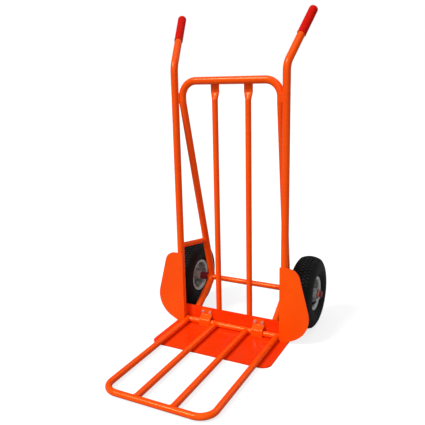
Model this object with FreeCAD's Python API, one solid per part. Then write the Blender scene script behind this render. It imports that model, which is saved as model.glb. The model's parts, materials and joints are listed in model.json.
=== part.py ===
import FreeCAD, Part
import math
import os

# Two-wheeled sack truck with a folding load fork. Millimetres. X runs across, Y to the back, Z up.
# The origin is on the floor, midway between the upright tubes and in the plane of their axes.
# Everything is modelled standing upright, with the fork folded down on the toe plate.

# Clearances
WELD_GAP = 0.2          # between two welded tubes, filled by the weld bead
SLIP_FIT = 0.05         # radial, a part pushed over or into another
RUNNING_GAP = 0.3       # between faces that move past each other
HOLE_CLEARANCE = 0.2    # radial, a bolt, pin or stem in its hole
SPACER_END_GAP = 0.6    # between the bent brace and the end of the spacer beside it

# Upright tubes and handles
UPRIGHT_SPACING = 396.0
FRAME_TUBE_DIAMETER = 25.0
FRAME_TUBE_WALL = 1.5
HANDLE_BEND_HEIGHT = 920.0
HANDLE_BEND_RADIUS = 55.0
HANDLE_OUT = 40.0
HANDLE_BACK = 138.0
HANDLE_RISE = 170.0
GRIP_LENGTH = 108.0
GRIP_WALL = 2.25
GRIP_END_THICKNESS = 4.0
GRIP_END_RADIUS = 9.0

# Hoop and rear braces, one bent tube
HOOP_BELOW_HANDLE_BEND = 46.0
HOOP_SETBACK = 12.0
HOOP_CORNER_RADIUS = 52.0
BRACE_TOP_BELOW_HOOP = 68.0
BRACE_TOP_RADIUS = 60.0
BRACE_INSET = 44.5
BRACE_BEND_RADIUS = 35.0
BRACE_FOOT_HEIGHT = 36.0
BEND_FIT_PASSES = 12

# Frame bars behind the load, and the side struts
FRAME_BAR_SPACING = 120.0
FRAME_BAR_DIAMETER = 20.0
FRAME_BAR_WALL = 1.5
FRAME_BAR_FOOT_HEIGHT = 22.0
FRAME_BAR_FLAT_WIDTH = 31.0
FRAME_BAR_FLAT_THICKNESS = 4.4
FRAME_BAR_FLAT_BELOW_HOOP = 38.0
FRAME_BAR_TAPER_LENGTH = 24.0
FRAME_BAR_OVERLAP = 6.0
STADIUM_SIDE_ANGLE = 35.0
STRUT_DIAMETER = 18.0
STRUT_WALL = 1.5
STRUT_ABOVE_TYRE = 36.0
STRUT_DROP = 8.0

# Toe plate with its upturned flange
TOE_OVERHANG = 7.0
TOE_REACH = 198.0
TOE_THICKNESS = 4.0
TOE_CORNER_RADIUS = 32.0
FLANGE_ABOVE_BRACKET = 4.5
FLANGE_BEND_RADIUS = 2.5
FLANGE_PLAY = 2.0

# Wheel guards
GUARD_ABOVE_TYRE = 11.0
GUARD_THICKNESS = 3.0
GUARD_FOOT_REACH = 12.0
GUARD_BULGE_REACH = 106.5
GUARD_BULGE_HEIGHT = 52.0
GUARD_BULGE_RADIUS = 93.0
GUARD_SHOULDER_REACH = 49.3
GUARD_SHOULDER_RADIUS = 40.0

# Folding fork
FORK_SIDE_PLAY = 1.0
FORK_REACH = 515.5
FORK_TUBE_DIAMETER = 20.0
FORK_TUBE_WALL = 1.5
FORK_CORNER_RADIUS = 48.0
FORK_BAR_SPACING = 120.0
FORK_BAR_DIAMETER = 20.0
FORK_PIVOT_SETBACK = -1.5

# Hinge brackets and their bolts
BRACKET_FROM_FORK_BAR = 11.5
BRACKET_WIDTH = 42.0
BRACKET_THICKNESS = 3.0
BRACKET_FOLD_ABOVE_TUBE = 3.2
BRACKET_SLOPE_RISE = 12.5
BRACKET_TAB_LENGTH = 21.0
BRACKET_FOLD_RADIUS = 2.0
BOLT_EDGE_DISTANCE = 7.5
BOLT_BELOW_BRACKET_TOP = 10.5
BOLT_DIAMETER = 6.0
BOLT_HEAD_WIDTH = 10.0
BOLT_HEAD_HEIGHT = 4.0
BOLT_NUT_HEIGHT = 5.0
BOLT_TAIL = 2.5

# Axle
AXLE_DIAMETER = 20.0
TYRE_TO_UPRIGHT = 7.5
AXLE_CHAMFER = 1.5
AXLE_OVERHANG = 4.2
SPACER_LENGTH = 25.6
SPACER_WALL = 4.0
WASHER_RIM = 5.0
WASHER_THICKNESS = 2.0
AXLE_CAP_WALL = 1.6
AXLE_CAP_EDGE_RADIUS = 1.2
SPLIT_PIN_DIAMETER = 3.2
SPLIT_PIN_LENGTH = 30.0
SPLIT_PIN_EYE_RADIUS = 3.4
SPLIT_PIN_WIRE_DIAMETER = 2.4

# Wheels, 260 x 85 pneumatic on a split pressed rim
TYRE_DIAMETER = 260.0
TYRE_WIDTH = 84.0
TYRE_WALL = 6.5
TYRE_CROWN_WALL = 8.0
TYRE_SHOULDER_DROP = 6.5
TYRE_SHOULDER_WIDTH = 58.0
TYRE_BEAD_WIDTH = 11.0
TUBE_WALL = 2.0
TUBE_SQUEEZE = 4.5
RIM_SEAT_RADIUS = 50.5
RIM_FLANGE_HEIGHT = 9.5
RIM_WIDTH = 57.0
RIM_SHEET = 2.0
RIM_DISC_RADIUS = 8.0
RIM_FLANGE_BEND = 5.0
RIM_PARTING_GAP = 0.1
RIM_BOLT_CIRCLE_RADIUS = 31.0
RIM_BOLT_COUNT = 4
RIM_BOLT_DIAMETER = 8.0
RIM_BOLT_HEAD_WIDTH = 13.0
RIM_BOLT_HEAD_HEIGHT = 5.3
RIM_NUT_HEIGHT = 6.5
RIM_BOLT_TAIL = 2.0
HUB_LENGTH = 75.0
HUB_WALL = 3.5
CAGE_FLANGE_THICKNESS = 3.0
CAGE_FLANGE_INSET = 0.5
CAGE_LENGTH = 22.0
ROLLER_DIAMETER = 3.9
ROLLER_LENGTH = 15.0
ROLLER_COUNT = 8
VALVE_STEM_DIAMETER = 8.0
VALVE_STEM_LENGTH = 27.0
VALVE_SEAT_X = 11.0
VALVE_CAP_LENGTH = 9.0
VALVE_CAP_BORE = 5.0
VALVE_CAP_TOP = 1.6

# Sizes and places that follow from the ones above
upright_x = UPRIGHT_SPACING / 2
frame_tube_radius = FRAME_TUBE_DIAMETER / 2
frame_bar_radius = FRAME_BAR_DIAMETER / 2
fork_tube_radius = FORK_TUBE_DIAMETER / 2
fork_bar_radius = FORK_BAR_DIAMETER / 2
axle_radius = AXLE_DIAMETER / 2
wheel_radius = TYRE_DIAMETER / 2
hoop_height = HANDLE_BEND_HEIGHT - HOOP_BELOW_HANDLE_BEND
brace_top_height = hoop_height - BRACE_TOP_BELOW_HOOP
frame_bar_flat_height = hoop_height - FRAME_BAR_FLAT_BELOW_HOOP
strut_front_height = TYRE_DIAMETER + STRUT_ABOVE_TYRE
strut_back_height = strut_front_height - STRUT_DROP
guard_height = TYRE_DIAMETER + GUARD_ABOVE_TYRE
toe_half_width = upright_x + frame_tube_radius + TOE_OVERHANG
tube_spacing = FRAME_TUBE_DIAMETER + WELD_GAP
hoop_x = upright_x - math.sqrt(tube_spacing ** 2 - HOOP_SETBACK ** 2)
brace_x = upright_x - BRACE_INSET
fork_half_width = upright_x - frame_tube_radius - fork_tube_radius - FORK_SIDE_PLAY
pivot_height = TOE_THICKNESS + RUNNING_GAP + fork_tube_radius
flange_front_y = FORK_PIVOT_SETBACK + fork_tube_radius + FLANGE_PLAY
flange_back_y = flange_front_y + TOE_THICKNESS
bracket_inner_x = FORK_BAR_SPACING / 2 + fork_bar_radius + BRACKET_FROM_FORK_BAR
bracket_fold_height = pivot_height + fork_tube_radius + BRACKET_FOLD_ABOVE_TUBE
bracket_tab_height = bracket_fold_height + BRACKET_SLOPE_RISE
bracket_top_height = bracket_tab_height + BRACKET_TAB_LENGTH
bolt_height = bracket_top_height - BOLT_BELOW_BRACKET_TOP
flange_height = bracket_top_height + FLANGE_ABOVE_BRACKET
rim_flange_radius = RIM_SEAT_RADIUS + RIM_FLANGE_HEIGHT
hub_bore_radius = axle_radius + ROLLER_DIAMETER + 2 * SLIP_FIT
hub_radius = hub_bore_radius + HUB_WALL
cage_end_x = HUB_LENGTH / 2 + CAGE_FLANGE_THICKNESS
spacer_start_x = brace_x + frame_tube_radius + SPACER_END_GAP
wheel_x = spacer_start_x + SPACER_LENGTH + RUNNING_GAP + cage_end_x
axle_setback = frame_tube_radius + TYRE_TO_UPRIGHT + wheel_radius
washer_x = wheel_x + cage_end_x + RUNNING_GAP
split_pin_x = washer_x + WASHER_THICKNESS + WELD_GAP + SPLIT_PIN_DIAMETER / 2
split_pin_end_x = split_pin_x + SPLIT_PIN_DIAMETER / 2
axle_end_x = split_pin_end_x + AXLE_OVERHANG

X_AXIS = FreeCAD.Vector(1, 0, 0)
Y_AXIS = FreeCAD.Vector(0, 1, 0)
Z_AXIS = FreeCAD.Vector(0, 0, 1)
ORIGIN = FreeCAD.Vector(0, 0, 0)


def point(x, y, z):
    return FreeCAD.Vector(x, y, z)


def unit(vector):
    return vector * (1 / vector.Length)


def rod(start, end, radius):
    """Solid round bar between two points."""
    span = end - start
    return Part.makeCylinder(radius, span.Length, start, span)


def ring(start, end, outer_radius, inner_radius):
    """Straight round tube between two points."""
    return rod(start, end, outer_radius).cut(rod(start, end, inner_radius))


def box(low, high):
    """Block between two opposite corners."""
    size = high - low
    return Part.makeBox(size.x, size.y, size.z, low)


def corner_arc(before, corner, after, radius):
    """Start, middle, end and centre of the arc that rounds a corner, and the angle it turns."""
    into = unit(corner - before)
    out = unit(after - corner)
    turn = into.getAngle(out)
    setback = radius * math.tan(turn / 2)
    start = corner - into * setback
    centre = start + unit(out - into * out.dot(into)) * radius
    middle = centre + unit(corner - centre) * radius
    return start, middle, corner + out * setback, centre, turn


def outline(corners):
    """Flat face inside a closed line of (point, radius) corners."""
    count = len(corners)
    stations = []
    edges = []
    for index, (corner, radius) in enumerate(corners):
        before = corners[index - 1][0]
        after = corners[(index + 1) % count][0]
        if radius > 0:
            start, middle, end = corner_arc(before, corner, after, radius)[:3]
            stations.append((start, end))
            edges.append(Part.Arc(start, middle, end).toShape())
        else:
            stations.append((corner, corner))
    for index, station in enumerate(stations):
        start = stations[index - 1][1]
        if start.distanceToPoint(station[0]) > 1e-6:
            edges.append(Part.LineSegment(start, station[0]).toShape())
    return Part.Face(Part.Wire(Part.sortEdges(edges)[0]))


def disc(centre, direction, outer_radius, inner_radius):
    """Flat disc, or a flat ring when the inner radius is more than nothing."""
    wires = [Part.Wire(Part.makeCircle(outer_radius, centre, direction))]
    if inner_radius > 0:
        wires.append(Part.Wire(Part.makeCircle(inner_radius, centre, direction)))
    return Part.makeFace(wires, "Part::FaceMakerBullseye")


def bent_bar(points, bend_radii, outer_radius, inner_radius=0):
    """Round bar or tube along straight runs, with a tangent arc at every inner point."""
    pieces = []
    start = points[0]
    for before, corner, after, radius in zip(points, points[1:], points[2:], bend_radii):
        arc_start, _, arc_end, centre, turn = corner_arc(before, corner, after, radius)
        into = unit(corner - before)
        axis = into.cross(after - corner)
        pieces.append(disc(start, into, outer_radius, inner_radius).extrude(arc_start - start))
        section = disc(arc_start, into, outer_radius, inner_radius)
        pieces.append(section.revolve(centre, axis, math.degrees(turn)))
        start = arc_end
    last_run = points[-1] - start
    pieces.append(disc(start, last_run, outer_radius, inner_radius).extrude(last_run))
    return pieces[0].multiFuse(pieces[1:]).removeSplitter()


def hexagon(centre, direction, width, height):
    """Hexagon bolt head or nut blank across flats, standing on its centre along a direction."""
    corners = []
    for index in range(7):
        angle = math.radians(60 * index + 30)
        corner_radius = width / math.sqrt(3)
        corners.append(point(corner_radius * math.cos(angle), corner_radius * math.sin(angle), 0))
    blank = Part.Face(Part.makePolygon(corners)).extrude(Z_AXIS * height)
    blank.Placement = FreeCAD.Placement(centre, FreeCAD.Rotation(Z_AXIS, direction))
    return blank


def mirrored(shape):
    """The same piece on the other side of the truck."""
    return shape.mirror(ORIGIN, X_AXIS)


def handle_direction():
    return unit(point(HANDLE_OUT, HANDLE_BACK, HANDLE_RISE))


def grip_tip():
    return point(upright_x + HANDLE_OUT, HANDLE_BACK, HANDLE_BEND_HEIGHT + HANDLE_RISE)


def upright():
    """Vertical side tube that stands on the toe plate and bends out and back into the handle."""
    foot = point(upright_x, 0, TOE_THICKNESS)
    bend = point(upright_x, 0, HANDLE_BEND_HEIGHT)
    end = grip_tip() - handle_direction() * GRIP_END_THICKNESS
    bore = frame_tube_radius - FRAME_TUBE_WALL
    return bent_bar([foot, bend, end], [HANDLE_BEND_RADIUS], frame_tube_radius, bore)


def grip():
    """Rubber sleeve with a round closed end, pushed over the handle."""
    end = grip_tip()
    along = handle_direction()
    start = end - along * GRIP_LENGTH
    body = rod(start, end, frame_tube_radius + GRIP_WALL)
    tip_edges = [edge for edge in body.Edges if edge.CenterOfMass.distanceToPoint(end) < 1]
    body = body.makeFillet(GRIP_END_RADIUS, tip_edges)
    bore = rod(start, end - along * GRIP_END_THICKNESS, frame_tube_radius + SLIP_FIT)
    return body.cut(bore)


def axle_centre(x):
    return point(x, axle_setback, wheel_radius)


def brace_top():
    """Corner point where the hoop's right leg turns into the sloping brace."""
    return point(hoop_x, HOOP_SETBACK, brace_top_height)


def brace_corner():
    """Corner point of the brace's lower bend, set so that the axle passes through the bent tube."""
    target = axle_centre(brace_x)
    foot = point(brace_x, flange_back_y, BRACE_FOOT_HEIGHT)
    corner = target
    for _ in range(BEND_FIT_PASSES):
        middle = corner_arc(foot, corner, brace_top(), BRACE_BEND_RADIUS)[1]
        corner = corner + target - middle
    return corner


def brace_foot():
    """Start of the brace's lower run, one tube diameter in front of the flange's back."""
    corner = brace_corner()
    slope = (corner.z - BRACE_FOOT_HEIGHT) / (corner.y - flange_back_y)
    height = BRACE_FOOT_HEIGHT - FRAME_TUBE_DIAMETER * slope
    return point(brace_x, flange_back_y - FRAME_TUBE_DIAMETER, height)


def hoop_brace():
    """Hoop and both braces as one bent tube, feet cut flat on the flange, drilled for the axle."""
    right = [brace_foot(), brace_corner(), brace_top(), point(hoop_x, HOOP_SETBACK, hoop_height)]
    left = [point(-place.x, place.y, place.z) for place in reversed(right)]
    bends = [BRACE_BEND_RADIUS, BRACE_TOP_RADIUS, HOOP_CORNER_RADIUS]
    bore = frame_tube_radius - FRAME_TUBE_WALL
    tube = bent_bar(right + left, bends + bends[::-1], frame_tube_radius, bore)
    reach = brace_x + FRAME_TUBE_DIAMETER
    in_front = box(point(-reach, -reach, -reach), point(reach, flange_back_y, flange_height))
    drill = rod(axle_centre(-reach), axle_centre(reach), axle_radius + SLIP_FIT)
    return tube.cut([in_front, drill])


def stadium(width, thickness, centre):
    """Flat section of a pressed tube: two straight sides and two half-round ends."""
    end_x = (width - thickness) / 2
    half = thickness / 2
    right = Part.Arc(centre + point(end_x, -half, 0), centre + point(width / 2, 0, 0),
                     centre + point(end_x, half, 0))
    left = Part.Arc(centre + point(-end_x, half, 0), centre + point(-width / 2, 0, 0),
                    centre + point(-end_x, -half, 0))
    back = Part.LineSegment(centre + point(end_x, half, 0), centre + point(-end_x, half, 0))
    front = Part.LineSegment(centre + point(-end_x, -half, 0), centre + point(end_x, -half, 0))
    return Part.Wire([right.toShape(), back.toShape(), left.toShape(), front.toShape()])


def quartered_circle(radius, centre):
    """Circle in four arcs, short at the sides and long at the front and back, like a stadium."""
    arcs = []
    side = STADIUM_SIDE_ANGLE
    for start_angle, end_angle in ((-side, side), (side, 180 - side), (180 - side, 180 + side),
                                   (180 + side, 360 - side)):
        places = []
        for angle in (start_angle, (start_angle + end_angle) / 2, end_angle):
            turn = math.radians(angle)
            places.append(centre + point(radius * math.cos(turn), radius * math.sin(turn), 0))
        arcs.append(Part.Arc(*places).toShape())
    return Part.Wire(arcs)


def frame_bar():
    """Upright bar behind the load: foot on the flange's back, top pressed flat behind the hoop."""
    x = FRAME_BAR_SPACING / 2
    bar_y = flange_back_y + frame_bar_radius
    flat_y = HOOP_SETBACK + frame_tube_radius + WELD_GAP + FRAME_BAR_FLAT_THICKNESS / 2
    taper_bottom = point(x, bar_y, frame_bar_flat_height - FRAME_BAR_TAPER_LENGTH)
    flat_bottom = point(x, flat_y, frame_bar_flat_height)
    round_part = ring(point(x, bar_y, FRAME_BAR_FOOT_HEIGHT), taper_bottom,
                      frame_bar_radius, frame_bar_radius - FRAME_BAR_WALL)
    flat = stadium(FRAME_BAR_FLAT_WIDTH, FRAME_BAR_FLAT_THICKNESS, flat_bottom)
    taper = Part.makeLoft([quartered_circle(frame_bar_radius, taper_bottom), flat], True, True)
    flat_length = FRAME_BAR_FLAT_BELOW_HOOP + FRAME_BAR_OVERLAP
    flat_part = Part.Face(flat).extrude(Z_AXIS * flat_length)
    return round_part.fuse([taper, flat_part])


def brace_centre(height):
    """Point on the sloping run of the right brace at a given height."""
    top = brace_top()
    corner = brace_corner()
    share = (top.z - height) / (top.z - corner.z)
    return top + (corner - top) * share


def side_strut():
    """Short tube between an upright and its brace, with both ends cut to fit the tubes."""
    front = point(upright_x, 0, strut_front_height)
    back = brace_centre(strut_back_height)
    strut = ring(front, back, STRUT_DIAMETER / 2, STRUT_DIAMETER / 2 - STRUT_WALL)
    notch_length = Z_AXIS * STRUT_DIAMETER * 2
    upright_notch = rod(front - notch_length, front + notch_length, frame_tube_radius + WELD_GAP)
    run = unit(brace_top() - back) * STRUT_DIAMETER * 2
    brace_notch = rod(back - run, back + run, frame_tube_radius + WELD_GAP)
    return strut.cut([upright_notch, brace_notch])


def bolt_places():
    """Centres of the hinge bolts of the right bracket, on the flange's front face."""
    inner = bracket_inner_x + BOLT_EDGE_DISTANCE
    outer = bracket_inner_x + BRACKET_WIDTH - BOLT_EDGE_DISTANCE
    return [point(inner, flange_front_y, bolt_height), point(outer, flange_front_y, bolt_height)]


def bolt_holes():
    """Drilled through the flange and the bracket's tab."""
    radius = BOLT_DIAMETER / 2 + HOLE_CLEARANCE
    reach = Y_AXIS * (TOE_THICKNESS + BRACKET_THICKNESS)
    return [rod(place - reach, place + reach, radius) for place in bolt_places()]


def toe_plate():
    """Flat plate with rounded front corners, folded up into a flange between the uprights."""
    edge_offset = math.sqrt(max(0, (frame_tube_radius + WELD_GAP) ** 2 - flange_front_y ** 2))
    flange_x = upright_x - edge_offset
    outer_bend = FLANGE_BEND_RADIUS + TOE_THICKNESS
    profile = outline([
        (point(-flange_x, -TOE_REACH, 0), 0),
        (point(-flange_x, flange_back_y, 0), outer_bend),
        (point(-flange_x, flange_back_y, flange_height), 0),
        (point(-flange_x, flange_front_y, flange_height), 0),
        (point(-flange_x, flange_front_y, TOE_THICKNESS), FLANGE_BEND_RADIUS),
        (point(-flange_x, -TOE_REACH, TOE_THICKNESS), 0),
    ])
    folded = profile.extrude(X_AXIS * flange_x * 2)
    wing = box(point(flange_x, -TOE_REACH, 0), point(toe_half_width, frame_tube_radius, TOE_THICKNESS))
    plate = folded.fuse([wing, mirrored(wing)]).removeSplitter()
    corner = point(toe_half_width, -TOE_REACH, TOE_THICKNESS / 2)
    front_corners = []
    for edge in plate.Edges:
        middle = edge.CenterOfMass
        if corner.distanceToPoint(point(abs(middle.x), middle.y, middle.z)) < 0.1:
            front_corners.append(edge)
    plate = plate.makeFillet(TOE_CORNER_RADIUS, front_corners)
    foot = point(upright_x, 0, TOE_THICKNESS)
    cuts = bolt_holes() + [rod(foot, foot + Z_AXIS * flange_height, frame_tube_radius + WELD_GAP)]
    return plate.cut(cuts + [mirrored(cut) for cut in cuts])


def wheel_guard():
    """Flat plate in front of an upright, wide enough to shield the wheel behind it."""
    back_y = -frame_tube_radius - WELD_GAP
    inner_x = upright_x - frame_tube_radius
    face = outline([
        (point(inner_x, back_y, TOE_THICKNESS), 0),
        (point(upright_x + GUARD_FOOT_REACH, back_y, TOE_THICKNESS), 0),
        (point(upright_x + GUARD_BULGE_REACH, back_y, GUARD_BULGE_HEIGHT), GUARD_BULGE_RADIUS),
        (point(upright_x + GUARD_SHOULDER_REACH, back_y, guard_height), GUARD_SHOULDER_RADIUS),
        (point(inner_x, back_y, guard_height), 0),
    ])
    return face.extrude(-Y_AXIS * GUARD_THICKNESS)


def hinge_bracket():
    """Folded strap: a tab bolted to the flange, a slope over the fork's crossbar and a front wall."""
    inner_y = FORK_PIVOT_SETBACK - fork_tube_radius - RUNNING_GAP
    outer_y = inner_y - BRACKET_THICKNESS
    tab_y = flange_front_y - BRACKET_THICKNESS
    slope = BRACKET_SLOPE_RISE / (tab_y - outer_y)
    drop = BRACKET_THICKNESS * (math.sqrt(1 + slope ** 2) - slope)
    x = bracket_inner_x
    inner_fold = BRACKET_FOLD_RADIUS
    outer_fold = BRACKET_FOLD_RADIUS + BRACKET_THICKNESS
    profile = outline([
        (point(x, outer_y, TOE_THICKNESS), 0),
        (point(x, outer_y, bracket_fold_height), outer_fold),
        (point(x, tab_y, bracket_tab_height), inner_fold),
        (point(x, tab_y, bracket_top_height), 0),
        (point(x, flange_front_y, bracket_top_height), 0),
        (point(x, flange_front_y, bracket_tab_height - drop), outer_fold),
        (point(x, inner_y, bracket_fold_height - drop), inner_fold),
        (point(x, inner_y, TOE_THICKNESS), 0),
    ])
    return profile.extrude(X_AXIS * BRACKET_WIDTH).cut(bolt_holes())


def hinge_bolt(place):
    """Hexagon bolt from the front of the bracket's tab through the flange."""
    seat = place - Y_AXIS * BRACKET_THICKNESS
    grip_length = BRACKET_THICKNESS + TOE_THICKNESS + BOLT_NUT_HEIGHT + BOLT_TAIL
    head = hexagon(seat, -Y_AXIS, BOLT_HEAD_WIDTH, BOLT_HEAD_HEIGHT)
    return head.fuse(rod(seat, seat + Y_AXIS * grip_length, BOLT_DIAMETER / 2))


def hinge_nut(place):
    seat = place + Y_AXIS * TOE_THICKNESS
    blank = hexagon(seat, Y_AXIS, BOLT_HEAD_WIDTH, BOLT_NUT_HEIGHT)
    reach = Y_AXIS * BOLT_NUT_HEIGHT * 2
    return blank.cut(rod(seat - reach, seat + reach, BOLT_DIAMETER / 2 + SLIP_FIT))


def fork_crossbar():
    """Hinge tube across the back of the fork, turning inside the brackets."""
    half = fork_half_width + fork_tube_radius
    start = point(-half, FORK_PIVOT_SETBACK, pivot_height)
    end = point(half, FORK_PIVOT_SETBACK, pivot_height)
    return ring(start, end, fork_tube_radius, fork_tube_radius - FORK_TUBE_WALL)


def crossbar_notch():
    """Round cut that lets a tube end fit against the crossbar."""
    reach = fork_half_width * 2
    start = point(-reach, FORK_PIVOT_SETBACK, pivot_height)
    end = point(reach, FORK_PIVOT_SETBACK, pivot_height)
    return rod(start, end, fork_tube_radius + WELD_GAP)


def fork_loop():
    """Bent tube around the sides and front of the fork, welded to the crossbar."""
    x = fork_half_width
    front_y = FORK_PIVOT_SETBACK - FORK_REACH
    corners = [
        point(-x, FORK_PIVOT_SETBACK, pivot_height),
        point(-x, front_y, pivot_height),
        point(x, front_y, pivot_height),
        point(x, FORK_PIVOT_SETBACK, pivot_height),
    ]
    bore = fork_tube_radius - FORK_TUBE_WALL
    loop = bent_bar(corners, [FORK_CORNER_RADIUS, FORK_CORNER_RADIUS], fork_tube_radius, bore)
    return loop.cut(crossbar_notch())


def fork_bar():
    """Inner bar between the crossbar and the front of the loop, with both ends cut to fit."""
    x = FORK_BAR_SPACING / 2
    front = point(x, FORK_PIVOT_SETBACK - FORK_REACH, pivot_height)
    back = point(x, FORK_PIVOT_SETBACK, pivot_height)
    bar = ring(front, back, fork_bar_radius, fork_bar_radius - FORK_TUBE_WALL)
    half_notch = X_AXIS * FORK_BAR_DIAMETER
    front_notch = rod(front - half_notch, front + half_notch, fork_tube_radius + WELD_GAP)
    return bar.cut([front_notch, crossbar_notch()])


def axle():
    """Round bar through both braces and both wheels, with a hole for a split pin near each end."""
    bar = rod(axle_centre(-axle_end_x), axle_centre(axle_end_x), axle_radius)
    bar = bar.makeChamfer(AXLE_CHAMFER, [edge for edge in bar.Edges if edge.Closed])
    reach = Z_AXIS * AXLE_DIAMETER
    for x in (-split_pin_x, split_pin_x):
        centre = axle_centre(x)
        bar = bar.cut(rod(centre - reach, centre + reach, SPLIT_PIN_DIAMETER / 2 + HOLE_CLEARANCE))
    return bar


def axle_spacer():
    """Sleeve on the axle that keeps the wheel away from the brace."""
    start = axle_centre(spacer_start_x)
    end = axle_centre(spacer_start_x + SPACER_LENGTH)
    return ring(start, end, axle_radius + SPACER_WALL, axle_radius + SLIP_FIT)


def axle_washer():
    """Washer between the wheel's hub and the split pin."""
    start = axle_centre(washer_x)
    end = axle_centre(washer_x + WASHER_THICKNESS)
    return ring(start, end, axle_radius + WASHER_RIM, axle_radius + SLIP_FIT)


def split_pin():
    """Pin through the end of the axle, with an eye on top."""
    centre = axle_centre(split_pin_x)
    radius = SPLIT_PIN_DIAMETER / 2
    head = centre + Z_AXIS * (axle_radius + SPLIT_PIN_EYE_RADIUS / 2)
    stem = rod(head - Z_AXIS * SPLIT_PIN_LENGTH, head, radius)
    eye_centre = head + Z_AXIS * SPLIT_PIN_EYE_RADIUS
    eye = Part.makeTorus(SPLIT_PIN_EYE_RADIUS, SPLIT_PIN_WIRE_DIAMETER / 2, eye_centre, X_AXIS)
    return stem.fuse(eye)


def axle_cap():
    """Plastic cap pushed over the end of the axle, outside the split pin."""
    start = axle_centre(split_pin_end_x + RUNNING_GAP)
    floor = axle_centre(axle_end_x + SLIP_FIT)
    end = floor + X_AXIS * AXLE_CAP_WALL
    body = rod(start, end, axle_radius + AXLE_CAP_WALL)
    end_edges = [edge for edge in body.Edges if edge.CenterOfMass.distanceToPoint(end) < 0.01]
    body = body.makeFillet(AXLE_CAP_EDGE_RADIUS, end_edges)
    return body.cut(rod(start, floor, axle_radius + SLIP_FIT))


def turned(corners):
    """Solid turned about the wheel's axis from corners given as (along, radius, corner radius)."""
    face = outline([(point(along, 0, radius), corner) for along, radius, corner in corners])
    return face.revolve(ORIGIN, X_AXIS, 360)


def rim_bolt_places():
    places = []
    for index in range(RIM_BOLT_COUNT):
        angle = math.radians(360 * (index + 0.5) / RIM_BOLT_COUNT)
        radius = RIM_BOLT_CIRCLE_RADIUS
        places.append(point(0, radius * math.sin(angle), radius * math.cos(angle)))
    return places


def rim_half():
    """Outer half of the split rim: centre disc, bowl wall that seats the bead, and turned-out edge."""
    face_x = RIM_PARTING_GAP / 2
    inner_face_x = face_x + RIM_SHEET
    hole = hub_radius + WELD_GAP
    edge_x = RIM_WIDTH / 2
    rim = turned([
        (face_x, hole, 0),
        (face_x, RIM_SEAT_RADIUS, RIM_DISC_RADIUS),
        (edge_x, RIM_SEAT_RADIUS, RIM_FLANGE_BEND),
        (edge_x, rim_flange_radius, 0),
        (edge_x + RIM_SHEET, rim_flange_radius, 0),
        (edge_x + RIM_SHEET, RIM_SEAT_RADIUS - RIM_SHEET, RIM_FLANGE_BEND + RIM_SHEET),
        (inner_face_x, RIM_SEAT_RADIUS - RIM_SHEET, RIM_DISC_RADIUS - RIM_SHEET),
        (inner_face_x, hole, 0),
    ])
    hole_radius = RIM_BOLT_DIAMETER / 2 + HOLE_CLEARANCE
    reach = X_AXIS * RIM_SEAT_RADIUS
    holes = [rod(place - reach, place + reach, hole_radius) for place in rim_bolt_places()]
    return rim.cut(holes)


def rim_bolt(place):
    """Hexagon bolt that clamps the two rim halves, head on the outer face."""
    seat_x = RIM_PARTING_GAP / 2 + RIM_SHEET
    seat = place + X_AXIS * seat_x
    head = hexagon(seat, X_AXIS, RIM_BOLT_HEAD_WIDTH, RIM_BOLT_HEAD_HEIGHT)
    tail = seat - X_AXIS * (seat_x * 2 + RIM_NUT_HEIGHT + RIM_BOLT_TAIL)
    return head.fuse(rod(tail, seat, RIM_BOLT_DIAMETER / 2))


def rim_nut(place):
    seat = place - X_AXIS * (RIM_PARTING_GAP / 2 + RIM_SHEET)
    blank = hexagon(seat, -X_AXIS, RIM_BOLT_HEAD_WIDTH, RIM_NUT_HEIGHT)
    reach = X_AXIS * RIM_NUT_HEIGHT * 2
    return blank.cut(rod(seat - reach, seat + reach, RIM_BOLT_DIAMETER / 2 + SLIP_FIT))


def arc_through(*places):
    """Arc in the wheel's section plane, through three (along, radius) places."""
    return Part.Arc(*[point(along, 0, radius) for along, radius in places]).toShape()


def line_between(start, end):
    return Part.LineSegment(point(start[0], 0, start[1]), point(end[0], 0, end[1])).toShape()


def tyre():
    """Tyre casing: crown, side walls and two beads that sit on the rim inside its edges."""
    crown = wheel_radius
    half = TYRE_WIDTH / 2
    shoulder = (TYRE_SHOULDER_WIDTH / 2, crown - TYRE_SHOULDER_DROP)
    inner_shoulder = (shoulder[0] - TYRE_WALL, shoulder[1] - TYRE_CROWN_WALL)
    middle = (crown + RIM_SEAT_RADIUS) / 2 + RUNNING_GAP
    bead_x = RIM_WIDTH / 2 - RUNNING_GAP
    seat = RIM_SEAT_RADIUS + RUNNING_GAP
    heel = RIM_FLANGE_BEND + RUNNING_GAP
    edge = (bead_x, rim_flange_radius + 2 * RUNNING_GAP)
    toe = (bead_x - TYRE_BEAD_WIDTH, seat)
    inner_start = (bead_x - TYRE_BEAD_WIDTH + TYRE_WALL / 2, rim_flange_radius - TYRE_WALL / 2)
    half_turn = math.sqrt(0.5)
    heel_middle = (bead_x - heel * (1 - half_turn), seat + heel * (1 - half_turn))
    right = [
        arc_through(shoulder, (half, middle), edge),
        line_between(edge, (bead_x, seat + heel)),
        arc_through((bead_x, seat + heel), heel_middle, (bead_x - heel, seat)),
        line_between((bead_x - heel, seat), toe),
        line_between(toe, inner_start),
        arc_through(inner_start, (half - TYRE_WALL, middle), inner_shoulder),
    ]
    left = [edge_shape.mirror(ORIGIN, X_AXIS) for edge_shape in right]
    tread = arc_through((-shoulder[0], shoulder[1]), (0, crown), shoulder)
    lining = arc_through((-inner_shoulder[0], inner_shoulder[1]), (0, crown - TYRE_CROWN_WALL),
                         inner_shoulder)
    edges = Part.sortEdges(right + left + [tread, lining])[0]
    return Part.Face(Part.Wire(edges)).revolve(ORIGIN, X_AXIS, 360)


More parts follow.
